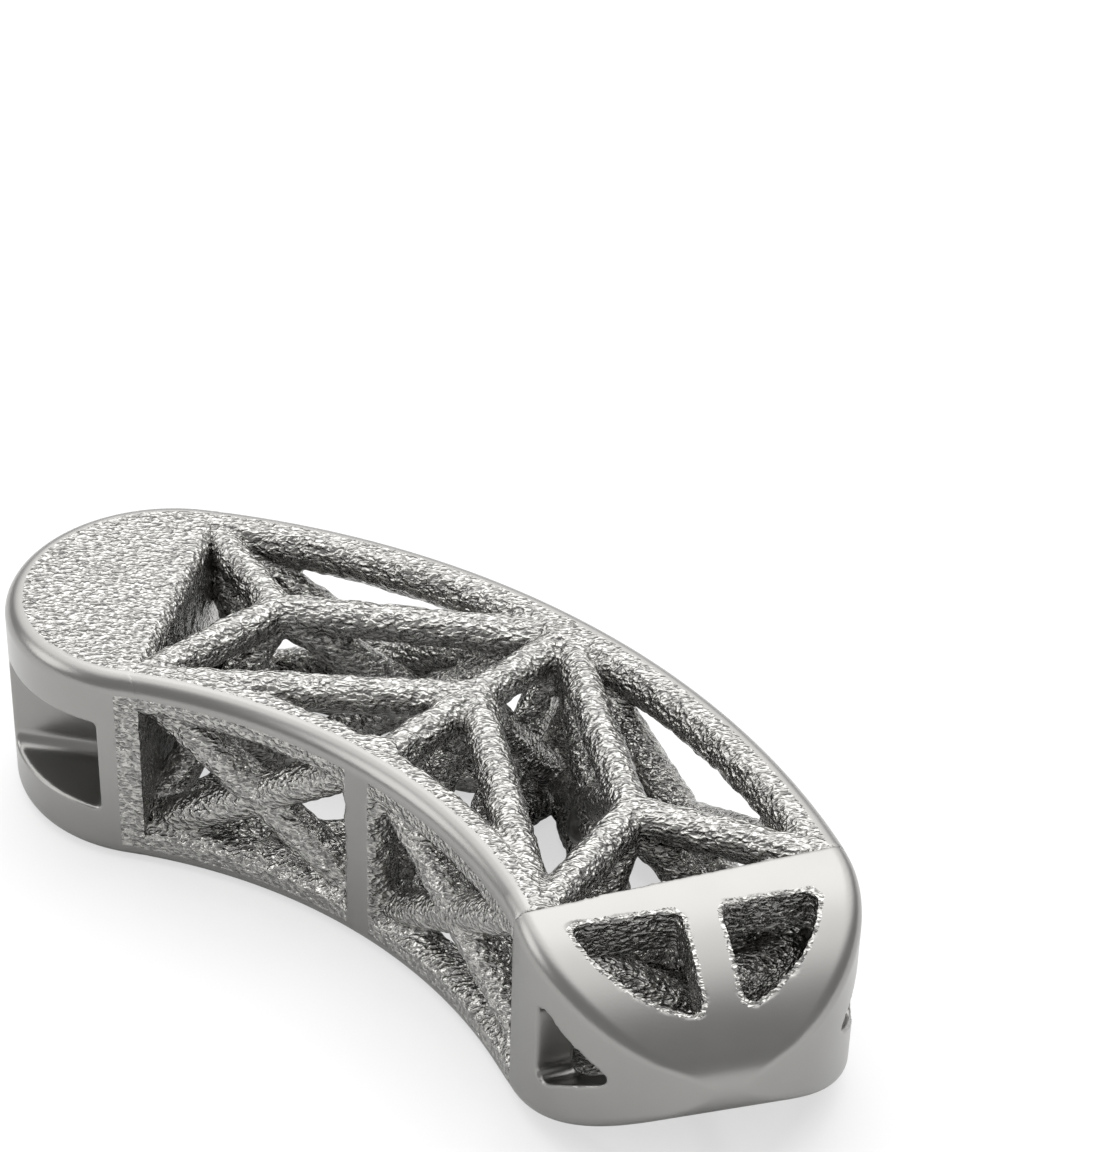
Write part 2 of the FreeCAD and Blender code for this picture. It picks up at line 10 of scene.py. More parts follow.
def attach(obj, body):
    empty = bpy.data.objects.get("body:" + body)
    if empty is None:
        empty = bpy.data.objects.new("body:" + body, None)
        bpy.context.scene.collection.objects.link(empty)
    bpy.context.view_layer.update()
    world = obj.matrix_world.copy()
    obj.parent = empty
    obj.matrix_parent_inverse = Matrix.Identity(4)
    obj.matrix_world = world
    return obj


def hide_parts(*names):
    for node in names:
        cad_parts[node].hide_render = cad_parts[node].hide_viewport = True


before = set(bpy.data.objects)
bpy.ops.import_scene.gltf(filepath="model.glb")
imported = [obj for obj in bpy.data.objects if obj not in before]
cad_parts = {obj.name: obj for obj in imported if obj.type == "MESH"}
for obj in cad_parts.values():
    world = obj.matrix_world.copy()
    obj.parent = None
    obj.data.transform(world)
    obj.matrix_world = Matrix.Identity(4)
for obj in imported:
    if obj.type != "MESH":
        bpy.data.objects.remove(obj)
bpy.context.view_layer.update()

bl_info = {
    "name": "Spinal Interbody Cage",
    "version": (1, 0, 0),
    "blender": (4, 5, 0),
    "location": "3D View > Sidebar > Cage",
    "description": "Truss, tail block and nose shell of a curved titanium cage, with its stage",
    "category": "Object",
}

# Shapes are made in millimetres, in the cage's own frame: +X runs from the tail to the nose, the
# concave wall faces -Y, and the lower endplate face lies at Z 0. They turn to metres at the end.
MM = 0.001
NODE = "interbody_cage"

# Main form, as in the solid.
LENGTH = 31.2
HEIGHT = 7.0
MID_WIDTH = 10.35
END_RADIUS = 5.06
END_RISE = 2.35
ROUNDING = 0.58
END_X = LENGTH / 2 - END_RADIUS
MID_Y = (MID_WIDTH + END_RISE - END_RADIUS) / 2
END_Y = END_RISE - MID_Y
CROWN_Y = MID_WIDTH - MID_Y
CONCAVE_RADIUS = (END_X**2 + END_RISE**2 - END_RADIUS**2) / (2 * (END_RADIUS - END_RISE))
DROP = MID_WIDTH - END_RISE
CONVEX_RADIUS = (END_X**2 + DROP**2 - END_RADIUS**2) / (2 * (DROP - END_RADIUS))
CONCAVE_CENTRE = Vector((0, -MID_Y - CONCAVE_RADIUS, 0))
CONVEX_CENTRE = Vector((0, CROWN_Y - CONVEX_RADIUS, 0))
BLOCK_ANGLE = math.atan2(END_X, END_RISE + (CONCAVE_RADIUS + CONVEX_RADIUS - MID_WIDTH) / 2)
MIDDLE = HEIGHT / 2
FAR = END_RADIUS + HEIGHT

# Each end has a frame of its own: its centre, and the turn of its outward axis about Z.
NOSE_SKEW = math.radians(4.8)
FRAMES = {
    "nose": (END_X, -BLOCK_ANGLE),
    "tip": (END_X, -BLOCK_ANGLE - NOSE_SKEW),
    "tail": (-END_X, BLOCK_ANGLE - math.pi),
}

# Side view of the nose: a flat top falls along a large arc into a small round tip.
TAPER_START = -0.6
TAPER_LEAD = math.radians(3.0)
TIP_RADIUS = 1.6
TIP_RELIEF = 0.02
TIP_ALONG = END_RADIUS - TIP_RELIEF - TIP_RADIUS
FALL = TIP_ALONG - TAPER_START
ARC_RADIUS = (FALL**2 + HEIGHT**2 / 4 - TIP_RADIUS**2) / (
    HEIGHT * math.cos(TAPER_LEAD) - 2 * TIP_RADIUS - 2 * FALL * math.sin(TAPER_LEAD)
)
ARC_ALONG = TAPER_START - ARC_RADIUS * math.sin(TAPER_LEAD)
ARC_LEVEL = HEIGHT - ARC_RADIUS * math.cos(TAPER_LEAD)
ARC_END = math.atan2(MIDDLE - ARC_LEVEL, TIP_ALONG - ARC_ALONG)

# Tail block.
TAIL_WALL = 0.6
TAIL_EDGE = 0.5
STRIP_END = 0.22
GRIP_START = 0.86
GRIP_HALF_CORE = 2.16
GRIP_HEIGHT = 3.3
GRIP_HOLLOW = 0.5
BORE_RADIUS = 1.4
BORE_LENGTH = 4.2
TAIL_RELIEF = 0.6

# Nose shell.
NOSE_WALL = 0.15
WINDOW_RIM = 1.26
WINDOW_REACH = END_RADIUS - WINDOW_RIM
WINDOW_START = 1.0
WINDOW_RIB = 0.58
RIB_OFFSET = 0.15
WINDOW_CORNER = 0.3
WINDOW_BURR = 0.13
PORT_BAND_START = 1.1
PORT_BAND_REACH = 4.0
PORT_BAND_HALF_HEIGHT = 1.8

# Truss.
STRUT_COVER = 0.06
RIM_DEPTH = 0.65
RIM_RUN_IN = 0.2
JOINT_DEPTH = 0.8
CONCAVE_DEPTH = 1.15
CONVEX_DEPTH = 0.7
JOINT_REACH = END_RADIUS - JOINT_DEPTH
CONCAVE_REACH = END_RADIUS - CONCAVE_DEPTH
CONVEX_REACH = END_RADIUS - CONVEX_DEPTH
INBOARD = -0.3
FACE_STRUTS = (
    ("tail_convex", "tail_inner"),
    ("tail_concave", "tail_inner"),
    ("tail_inner", "mid_convex"),
    ("tail_concave", "mid_inner"),
    ("mid_inner", "mid_convex"),
    ("mid_inner", "mid_concave"),
    ("mid_inner", "nose_concave"),
    ("mid_convex", "nose_inner"),
    ("nose_inner", "nose_concave"),
    ("nose_inner", "nose_convex"),
)
CROSSED_PANELS = (
    ("tail_convex", "tail_inner"),
    ("tail_concave", "tail_inner"),
    ("tail_inner", "mid_convex"),
    ("mid_inner", "mid_convex"),
    ("mid_inner", "mid_concave"),
    ("mid_convex", "nose_inner"),
    ("nose_inner", "nose_convex"),
    ("nose_inner", "nose_concave"),
    ("nose_concave", "nose_convex"),
)
CROSSED_WALLS = (
    ("tail_concave_brace", "mid_concave_brace"),
    ("mid_concave_brace", "nose_concave_brace"),
    ("tail_convex_brace", "mid_convex_brace"),
    ("mid_convex_brace", "nose_convex_brace"),
)
# Bars from the nose's outer joints to its middle: joint, level there, and inner end in plan.
NOSE_BAR_RADIUS = 0.7
NOSE_BARS = (("nose_concave", 5.6, (1.6, -0.4)), ("nose_convex", 3.9, (1.2, 0.6)))
BEAD_LEVEL = 2.45
BEAD_FADE = 0.1
BEAD_DOME = 0.93
POST_BAND = 0.46

# Azimuth and elevation of the studio's lights, in degrees: a large one above, a small one beside.
SOFTBOX = (125, 60)
WALL_LIGHT = (-138, 28)
SKY_EDGE = (0.52, 0.85)
SKY_STRENGTH = (0.5, 2.4)
FLOOR_SIZE = 4.0
FLOOR_GLOW = 0.6

# Camera worked out from the photograph: line of sight, target in mm, roll, distance in mm, and
# focal length in pixels of the photograph's longer side.
LOOK = (-0.5301, 0.6336, -0.5635)
TARGET = (-5.413, 11.292, 3.5)
ROLL = math.radians(1.748)
DISTANCE = 109.59
FOCAL_PIXELS = 3236.9
LONGER_SIDE = 1152
SENSOR = 36.0

# What the making of the meshes leaves free.
ROUND_SIDES = 32
ARC_STEPS = 48
ROUNDING_STEPS = 8
HIDDEN_INSET = 0.006
HIDDEN_START = 0.08
HIDDEN_DEPTH = 0.15
EASED = 0.12
NEAR = 0.02
ON_SKIN = NEAR * 2
SHARP_ANGLE = math.radians(60.0)
LAY_ANGLE = math.radians(39.9)
ROUGH, SMOOTH = range(2)


def linear(code):
    """Linear colour of an sRGB hex value."""
    levels = [int(code[place:place + 2], 16) / 255 for place in (0, 2, 4)]
    return tuple(
        level / 12.92 if level <= 0.04045 else ((level + 0.055) / 1.055) ** 2.4 for level in levels
    )


class TrussSizes(bpy.types.PropertyGroup):
    """Bars of the open truss and the relief of their surface, in millimetres."""

    strut: FloatProperty(
        name="Strut", description="Diameter of face and panel struts",
        default=1.2, min=0.4, max=1.6,
    )
    brace: FloatProperty(
        name="Brace", description="Diameter of wall braces",
        default=1.25, min=0.4, max=1.6,
    )
    rim: FloatProperty(
        name="Rim", description="Radius of the rim bars",
        default=0.75, min=0.3, max=1.0,
    )
    post: FloatProperty(
        name="Post", description="Radius of the upright bars",
        default=0.8, min=0.3, max=1.2,
    )
    bead: FloatProperty(
        name="Bead", description="Radius of the smooth bead",
        default=0.85, min=0.3, max=1.2,
    )
    grain: FloatProperty(
        name="Grain", description="Size of the fused powder cells",
        default=0.085, min=0.05, max=0.3,
    )
    block_grain: FloatProperty(
        name="Block grain", description="Cells of the two end blocks",
        default=0.07, min=0.05, max=0.3,
    )
    lumps: FloatProperty(
        name="Lumps", description="Height of the uneven melt",
        default=0.05, min=0.0, max=0.2,
    )
    ripples: FloatProperty(
        name="Ripples", description="Height of the layer ridges",
        default=0.035, min=0.0, max=0.2,
    )


class Finishes(bpy.types.PropertyGroup):
    """Colours and gloss of the two surfaces."""

    # Ridge and valley colours paint light and shade into the ripples: the lighter ridge colour is
    # painted light on the tops, and the darker valley colour is painted shade between them, partly real
    # pore darkening.
    ridge: FloatVectorProperty(
        name="Ridge", description="Rough metal, tops of its ripples",
        subtype="COLOR", size=3, min=0.0, max=1.0, default=linear("b0afac"),
    )
    valley_shade: FloatVectorProperty(
        name="Valley", description="Rough metal, between its ripples",
        subtype="COLOR", size=3, min=0.0, max=1.0, default=linear("868583"),
    )
    satin: FloatVectorProperty(
        name="Satin", description="Smooth metal",
        subtype="COLOR", size=3, min=0.0, max=1.0, default=linear("8c8b89"),
    )
    rough_gloss: FloatProperty(
        name="Rough gloss", description="Roughness of the rippled metal",
        subtype="FACTOR", default=0.24, min=0.0, max=1.0,
    )
    satin_gloss: FloatProperty(
        name="Satin gloss", description="Roughness of the smooth metal",
        subtype="FACTOR", default=0.3, min=0.0, max=1.0,
    )
    ripple_pitch: FloatProperty(
        name="Ripple pitch", description="Scale of the fine ripples, mm",
        default=0.14, min=0.05, max=1.0,
    )
    ripple_height: FloatProperty(
        name="Ripple height", description="Full height of the fine ripples, mm",
        default=0.16, min=0.0, max=0.5,
    )


def plan_point(end, along, across):
    """Plan point in an end's own frame: outward along its axis, and across it to the left."""
    centre, turn = FRAMES[end]
    return Vector(
        (
            centre + along * math.cos(turn) - across * math.sin(turn),
            END_Y + along * math.sin(turn) + across * math.cos(turn),
            0,
        )
    )


def toward(azimuth, elevation):
    """Direction of an azimuth and an elevation in degrees."""
    azimuth, elevation = math.radians(azimuth), math.radians(elevation)
    level = Vector((math.cos(azimuth), math.sin(azimuth), 0)) * math.cos(elevation)
    return level + Vector((0, 0, math.sin(elevation)))


def end_matrix(end):
    """Matrix from an end's own frame to the cage's."""
    centre, turn = FRAMES[end]
    return Matrix.Translation((centre, END_Y, 0)) @ Matrix.Rotation(turn, 4, "Z")


PLACES = {
    "tail_convex": plan_point("tail", INBOARD, -JOINT_REACH),
    "tail_concave": plan_point("tail", INBOARD, JOINT_REACH),
    "tail_inner": Vector((-7.72, 4.52 - MID_Y, 0)),
    "mid_convex": Vector((0, CROWN_Y - JOINT_DEPTH, 0)),
    "mid_inner": Vector((0, 5.27 - MID_Y, 0)),
    "mid_concave": Vector((0, JOINT_DEPTH - MID_Y, 0)),
    "nose_inner": Vector((7.11, 4.18 - MID_Y, 0)),
    "nose_convex": plan_point("nose", INBOARD, JOINT_REACH),
    "nose_concave": plan_point("nose", INBOARD, -JOINT_REACH),
    "tail_concave_brace": plan_point("tail", INBOARD, CONCAVE_REACH),
    "mid_concave_brace": Vector((0, CONCAVE_DEPTH - MID_Y, 0)),
    "nose_concave_brace": plan_point("nose", INBOARD, -CONCAVE_REACH),
    "tail_convex_brace": plan_point("tail", INBOARD, -CONVEX_REACH),
    "mid_convex_brace": Vector((0, CROWN_Y - CONVEX_DEPTH, 0)),
    "nose_convex_brace": plan_point("nose", INBOARD, CONVEX_REACH),
}


def wall_distance(points):
    """How far plan points lie outside the outline, and the direction straight out of it."""
    flat = points[:, :2]

    def from_arc(centres, radius, side):
        offset = flat - centres
        reach = np.maximum(np.linalg.norm(offset, axis=1), NEAR)
        return side * (reach - radius), side * offset / reach[:, None]

    centres = np.column_stack((np.copysign(END_X, flat[:, 0]), np.full(len(flat), END_Y)))
    end = from_arc(centres, END_RADIUS, 1.0)
    walls = []
    for centre, radius, side in (
        (CONCAVE_CENTRE, CONCAVE_RADIUS, -1.0),
        (CONVEX_CENTRE, CONVEX_RADIUS, 1.0),
    ):
        wall = from_arc(np.array(centre[:2]), radius, side)
        beside = np.abs(flat[:, 0]) * (END_Y - centre.y) < END_X * (flat[:, 1] - centre.y)
        walls.append(
            (np.where(beside, wall[0], end[0]), np.where(beside[:, None], wall[1], end[1]))
        )
    nearer = walls[0][0] > walls[1][0]
    return (
        np.where(nearer, walls[0][0], walls[1][0]),
        np.where(nearer[:, None], walls[0][1], walls[1][1]),
    )


def along_end(points, end):
    """Distance of points outward of an end's centre, along its axis."""
    centre, turn = FRAMES[end]
    return (points[:, 0] - centre) * math.cos(turn) + (points[:, 1] - END_Y) * math.sin(turn)


def face_distance(points):
    """How far points lie outside the endplate faces or the nose's taper, and straight out."""
    along = along_end(points, "tip")
    side = np.sign(points[:, 2] - MIDDLE)
    level = MIDDLE + np.abs(points[:, 2] - MIDDLE)
    from_arc = np.column_stack((along - ARC_ALONG, level - ARC_LEVEL))
    from_tip = np.column_stack((along - TIP_ALONG, level - MIDDLE))
    on_flat = along < TAPER_START
    on_arc = np.arctan2(from_arc[:, 1], from_arc[:, 0]) > ARC_END
    arc_reach = np.maximum(np.linalg.norm(from_arc, axis=1), NEAR)
    tip_reach = np.maximum(np.linalg.norm(from_tip, axis=1), NEAR)
    distance = np.where(on_arc, arc_reach - ARC_RADIUS, tip_reach - TIP_RADIUS)
    slope = np.where(on_arc[:, None], from_arc / arc_reach[:, None], from_tip / tip_reach[:, None])
    distance = np.where(on_flat, level - HEIGHT, distance)
    slope = np.where(on_flat[:, None], np.array((0.0, 1.0)), slope)
    turn = FRAMES["tip"][1]
    outward = np.column_stack(
        (slope[:, 0] * math.cos(turn), slope[:, 0] * math.sin(turn), slope[:, 1] * side)
    )
    return distance, outward


def form_distance(points):
    """How far points lie outside the rounded form, straight out of it, and from the wall."""
    wall, wall_out = wall_distance(points)
    wall_out = np.column_stack((wall_out, np.zeros(len(points))))
    face, face_out = face_distance(points)
    lean = np.clip((wall_out * face_out).sum(1), -0.99, 0.99)
    beside, over = wall + ROUNDING, face + ROUNDING
    spread = 1 - lean**2
    wall_part, face_part = (beside - over * lean) / spread, (over - beside * lean) / spread
    rounded = (wall_part > 0) & (face_part > 0)
    corner = wall_out * wall_part[:, None] + face_out * face_part[:, None]
    reach = np.maximum(np.linalg.norm(corner, axis=1), NEAR * MM)
    distance = np.where(rounded, reach - ROUNDING, np.maximum(wall, face))
    flat_out = np.where((wall > face)[:, None], wall_out, face_out)
    return distance, np.where(rounded[:, None], corner / reach[:, None], flat_out), wall


def held_in_form(points):
    """Points moved in to the form's skin where they stand out of it."""
    distance, direction, _ = form_distance(points)
    return points - direction * np.maximum(distance, 0)[:, None]


def tucked_in_blocks(points):
    """Points held in the form, and drawn under the skin where a block covers them."""
    distance, direction, _ = form_distance(points)
    along = {end: along_end(points, end) for end in ("tail", "nose")}
    covered = (along["tail"] > -TAIL_WALL) | (along["nose"] > -NOSE_WALL)
    deeper = np.clip(np.maximum(along["tail"], along["nose"]) + HIDDEN_START, 0, HIDDEN_DEPTH)
    inset = np.where(covered, HIDDEN_INSET + deeper, 0)
    return points - direction * np.maximum(distance + inset, 0)[:, None]


def window_distance(points):
    """How far points of the nose lie outside the plan of its windows."""
    tip = along_end(points, "tip")
    centre, turn = FRAMES["tip"]
    offset = points[:, :2] - np.array((centre, END_Y))
    across = offset[:, 1] * math.cos(turn) - offset[:, 0] * math.sin(turn)
    reach = np.linalg.norm(offset, axis=1)
    beside_rib = WINDOW_RIB - np.abs(across - RIB_OFFSET)
    past = np.stack((reach - WINDOW_REACH, WINDOW_START - tip, beside_rib)) + WINDOW_CORNER
    return np.linalg.norm(np.maximum(past, 0), axis=0) - WINDOW_CORNER


def on_form(points, reach):
    """Points within reach of the form's skin, moved exactly onto it."""
    distance, direction, _ = form_distance(points)
    near = np.abs(distance) < reach
    return points - direction * np.where(near, distance, 0)[:, None]


def relief(point, sizes):
    """Height of the as-built surface at one point: uneven melt, and ridges from the layers."""
    lay = Vector((point.x * 0.77 + point.y * 0.64, point.y * 0.77 - point.x * 0.64, point.z))
    warp = noise.noise_vector(point * 2.2) * 0.35
    stretched = Vector((lay.x * 1.5, lay.y * 3.6, lay.z * 3.6)) + warp
    lump = noise.noise(point * 1.7) + 0.6 * noise.noise(point * 3.9)
    ridge = noise.noise(stretched)
    return sizes.lumps * lump + sizes.ripples * ridge


def softened(mesh, points, share, rounds=6):
    """Points drawn toward the middle of their neighbours, in part where the share is below 1."""
    ends = np.empty(len(mesh.edges) * 2, np.int32)
    mesh.edges.foreach_get("vertices", ends)
    first, last = ends[::2], ends[1::2]
    count = np.bincount(ends, minlength=len(points))[:, None]
    for _ in range(rounds):
        total = np.zeros_like(points)
        np.add.at(total, first, points[last])
        np.add.at(total, last, points[first])
        points = points + (total / count - points) * (share * 0.5)[:, None]
    return points


def lips(points, normals):
    """Share of easing: 1 along the edges where the form's skin turns inward, else 0."""
    distance, direction, _ = form_distance(points)
    turned = (normals * direction).sum(1) < 0.95
    return ((np.abs(distance) < EASED) & turned).astype(float)


def points_of(mesh):
    """Vertex places of a mesh as rows."""
    rows = np.empty(len(mesh.vertices) * 3)
    mesh.vertices.foreach_get("co", rows)
    return rows.reshape(-1, 3)


def evaluated(piece):
    """Mesh of an object with its modifiers applied, the object itself removed."""
    bpy.context.view_layer.update()
    made = bpy.data.meshes.new_from_object(piece.evaluated_get(bpy.context.evaluated_depsgraph_get()))
    bpy.data.objects.remove(piece)
    return made


def shown(name, shape):
    """Object of a bmesh or a mesh, linked to the scene."""
    if isinstance(shape, bmesh.types.BMesh):
        mesh = bpy.data.meshes.new(name)
        shape.to_mesh(mesh)
        shape.free()
        shape = mesh
    piece = bpy.data.objects.new(name, shape)
    bpy.context.scene.collection.objects.link(piece)
    return piece


def carve(piece, operation, tool):
    """Boolean of a piece and a tool, as a new object of the same name."""
    name = piece.name
    step = piece.modifiers.new(operation.lower(), "BOOLEAN")
    step.operation = operation
    step.solver = "EXACT"
    step.object = tool
    mesh = evaluated(piece)
    bpy.data.objects.remove(tool)
    return shown(name, mesh)


def fused(piece, grain):
    """Piece rebuilt as one even closed skin of small cells, and its points and normals."""
    fuse = piece.modifiers.new("fuse", "REMESH")
    fuse.mode = "VOXEL"
    fuse.voxel_size = grain
    mesh = evaluated(piece)
    if not mesh.polygons:
        raise RuntimeError("a piece has no surface left")
    normals = np.empty(len(mesh.vertices) * 3)
    mesh.vertices.foreach_get("normal", normals)
    return mesh, points_of(mesh), normals.reshape(-1, 3)


def roughened(points, normals, share):
    """Points moved by the relief of the as-built surface, in part where the share is below 1."""
    sizes = bpy.context.scene.cage_truss
    heights = np.array(
        [relief(Vector(point), sizes) if part else 0.0 for point, part in zip(points, share)]
    )
    return points + normals * (heights * share)[:, None]


def finish_piece(piece, zone):
    """Turn a piece to metres, give it its two finishes by zone, and let it stand for the node."""
    mesh = piece.data
    mesh.materials.clear()
    for finish in (as_built_metal(), satin_metal()):
        mesh.materials.append(finish)
    centres = np.empty(len(mesh.polygons) * 3)
    normals = np.empty(len(mesh.polygons) * 3)
    mesh.polygons.foreach_get("center", centres)
    mesh.polygons.foreach_get("normal", normals)
    smooth = zone(centres.reshape(-1, 3), normals.reshape(-1, 3))
    mesh.polygons.foreach_set("material_index", np.where(smooth, SMOOTH, ROUGH).astype(np.int32))
    mesh.polygons.foreach_set("use_smooth", np.ones(len(mesh.polygons), bool))
    mesh.set_sharp_from_angle(angle=SHARP_ANGLE)
    mesh.transform(Matrix.Scale(MM, 4))
    mesh.update()
    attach(piece, "root")
    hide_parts(NODE)


def skin_block(block, zone, height=1.0):
    """Give an end block even cells, eased lips and relief outside its satin zone, and finish it."""
    name = block.name
    mesh, points, normals = fused(block, bpy.context.scene.cage_truss.block_grain)
    points = on_form(points, ON_SKIN)
    rough = ~zone(points, normals)
    points = softened(mesh, points, lips(points, normals) * ~rough)
    points = held_in_form(roughened(points, normals, rough.astype(float) * height))
    mesh.vertices.foreach_set("co", points.ravel())
    finish_piece(shown(name, mesh), zone)


def add_bar(bm, start, end, radius):
    """Round bar between two points."""
    axis = end - start
    place = Matrix.Translation((start + end) / 2) @ axis.to_track_quat("Z", "Y").to_matrix().to_4x4()
    bmesh.ops.create_cone(
        bm, cap_ends=True, segments=ROUND_SIDES, radius1=radius, radius2=radius,
        depth=axis.length, matrix=place,
    )


def add_ball(bm, centre, radius):
    """Ball at a point."""
    bmesh.ops.create_uvsphere(
        bm, u_segments=ROUND_SIDES, v_segments=ROUND_SIDES // 2, radius=radius,
        matrix=Matrix.Translation(centre),
    )


def add_rim(bm, centre, reach, level, half_turn, radius):
    """Round bar along an arc about the middle of a wall."""
    place = (
        Matrix.Translation(centre)
        @ Matrix.Rotation(half_turn, 4, "Z")
        @ Matrix.Translation((0, reach, level))
        @ Matrix.Rotation(math.pi / 2, 4, "Y")
    )
    ring = bmesh.ops.create_circle(
        bm, cap_ends=True, segments=ROUND_SIDES, radius=radius, matrix=place
    )["verts"]
    section = {face for vert in ring for face in vert.link_faces}
    edges = {edge for vert in ring for edge in vert.link_edges}
    bmesh.ops.spin(
        bm, geom=[*ring, *edges, *section], cent=centre, axis=(0, 0, 1),
        angle=-2 * half_turn, steps=ARC_STEPS * 2, use_merge=False, use_duplicate=False,
    )


def outline_prism():
    """Plan outline of four tangent arcs, raised and rounded along both faces."""
    bm = bmesh.new()
    toward_nose = math.atan2(END_Y - CONCAVE_CENTRE.y, END_X)
    toward_crown = math.atan2(END_Y - CONVEX_CENTRE.y, END_X)
    nose, tail = Vector((END_X, END_Y, 0)), Vector((-END_X, END_Y, 0))
    start = CONCAVE_CENTRE + Vector(
        (-math.cos(toward_nose), math.sin(toward_nose), 0)
    ) * CONCAVE_RADIUS
    last = bm.verts.new(start)
    for centre, turn in (
        (CONCAVE_CENTRE, 2 * toward_nose - math.pi),
        (nose, toward_crown + math.pi - toward_nose),
        (CONVEX_CENTRE, math.pi - 2 * toward_crown),
        (tail, toward_crown + math.pi - toward_nose),
    ):
        swept = bmesh.ops.spin(
            bm, geom=[last], cent=centre, axis=(0, 0, 1), angle=turn, steps=ARC_STEPS,
            use_merge=False, use_duplicate=False,
        )
        last = swept["geom_last"][0]
    bmesh.ops.remove_doubles(bm, verts=bm.verts[:], dist=MM)
    floor = bmesh.ops.contextual_create(bm, geom=bm.edges[:])["faces"]
    raised = bmesh.ops.extrude_face_region(bm, geom=floor)["geom"]
    top = [item for item in raised if isinstance(item, bmesh.types.BMVert)]
    bmesh.ops.translate(bm, verts=top, vec=(0, 0, HEIGHT))
    bmesh.ops.recalc_face_normals(bm, faces=bm.faces[:])
    level = [edge for edge in bm.edges if abs(edge.verts[0].co.z - edge.verts[1].co.z) < NEAR]
    bmesh.ops.bevel(
        bm, geom=level, offset=ROUNDING, offset_type="OFFSET", segments=ROUNDING_STEPS,
        profile=0.5, affect="EDGES", material=-1, clamp_overlap=False,
    )
    return bm


def end_box(end, low, high, rounding, axis, corner):
    """Box in an end's own frame; its level edges where one axis meets the corner are rounded."""
    bm = bmesh.new()
    bmesh.ops.create_cube(bm, size=1.0)
    low, high = Vector(low), Vector(high)
    bmesh.ops.scale(bm, vec=high - low, verts=bm.verts[:])
    bmesh.ops.translate(bm, vec=(low + high) / 2, verts=bm.verts[:])
    edges = [
        edge for edge in bm.edges
        if all(abs(vert.co[axis] - corner) < NEAR for vert in edge.verts)
        and abs(edge.verts[0].co.z - edge.verts[1].co.z) < NEAR
    ]
    bmesh.ops.bevel(
        bm, geom=edges, offset=rounding, offset_type="OFFSET", segments=ROUNDING_STEPS,
        profile=0.5, affect="EDGES", material=-1,
    )
    bmesh.ops.transform(bm, matrix=end_matrix(end), verts=bm.verts[:])
    return bm


def add_node(tree, kind, settings=None, inputs=None):
    """Add one node with its settings; an input is a plain value or another node's output."""
    node = tree.nodes.new(kind)
    for name, value in (settings or {}).items():
        setattr(node, name, value)
    for name, value in (inputs or {}).items():
        if isinstance(value, bpy.types.NodeSocket):
            tree.links.new(value, node.inputs[name])
        else:
            node.inputs[name].default_value = value
    return node


def new_material(name):
    """Material with an empty node tree, or the one already made."""
    if name in bpy.data.materials:
        return bpy.data.materials[name], None
    material = bpy.data.materials.new(name)
    material.use_nodes = True
    material.node_tree.nodes.clear()
    return material, material.node_tree


def show_metal(tree, colour, gloss, normal):
    """Metal surface of a colour, a roughness and a normal, led to the material's output."""
    shader = add_node(
        tree, "ShaderNodeBsdfPrincipled", None,
        {"Base Color": colour, "Metallic": 1.0, "Roughness": gloss, "Normal": normal},
    )
    add_node(tree, "ShaderNodeOutputMaterial", None, {"Surface": shader.outputs["BSDF"]})


def as_built_metal():
    """Titanium alloy as it leaves the powder bed.

    Half-melted grains leave short wavy ridges along the layers. Light tops and dark valleys are painted
    into the colour: painted light on the ridge tops, and painted shade in the valleys together with
    some real darkening of the pores there.
    """
    material, tree = new_material("titanium_as_built")
    if tree is None:
        return material
    looks = bpy.context.scene.cage_finishes
    pitch = looks.ripple_pitch * MM
    place = add_node(tree, "ShaderNodeTexCoord")
    lay = add_node(
        tree, "ShaderNodeMapping", {"vector_type": "TEXTURE"},
        {
            "Vector": place.outputs["Object"],
            "Rotation": (0, 0, LAY_ANGLE),
            "Scale": (pitch * 1.6, pitch, pitch),
        },
    )
    ridges = add_node(
        tree, "ShaderNodeTexNoise", None,
        {
            "Vector": lay.outputs["Vector"],
            "Scale": 1.0,
            "Detail": 1.0,
            "Roughness": 0.5,
            "Distortion": 0.3,
        },
    )
    tops = add_node(
        tree, "ShaderNodeMapRange", {"interpolation_type": "SMOOTHSTEP"},
        {"Value": ridges.outputs["Fac"], "From Min": 0.36, "From Max": 0.6},
    )
    # Painted light and shade: ripple tops take the lighter ridge colour, and the valleys take the
    # darker painted-shade valley colour.
    colour = add_node(
        tree, "ShaderNodeMix", {"data_type": "RGBA"},
        {0: tops.outputs["Result"], 6: (*looks.valley_shade, 1.0), 7: (*looks.ridge, 1.0)},
    )
    bump = add_node(
        tree, "ShaderNodeBump", None,
        {"Strength": 1.0, "Distance": looks.ripple_height * MM, "Height": ridges.outputs["Fac"]},
    )
    show_metal(tree, colour.outputs[2], looks.rough_gloss, bump.outputs["Normal"])
    return material


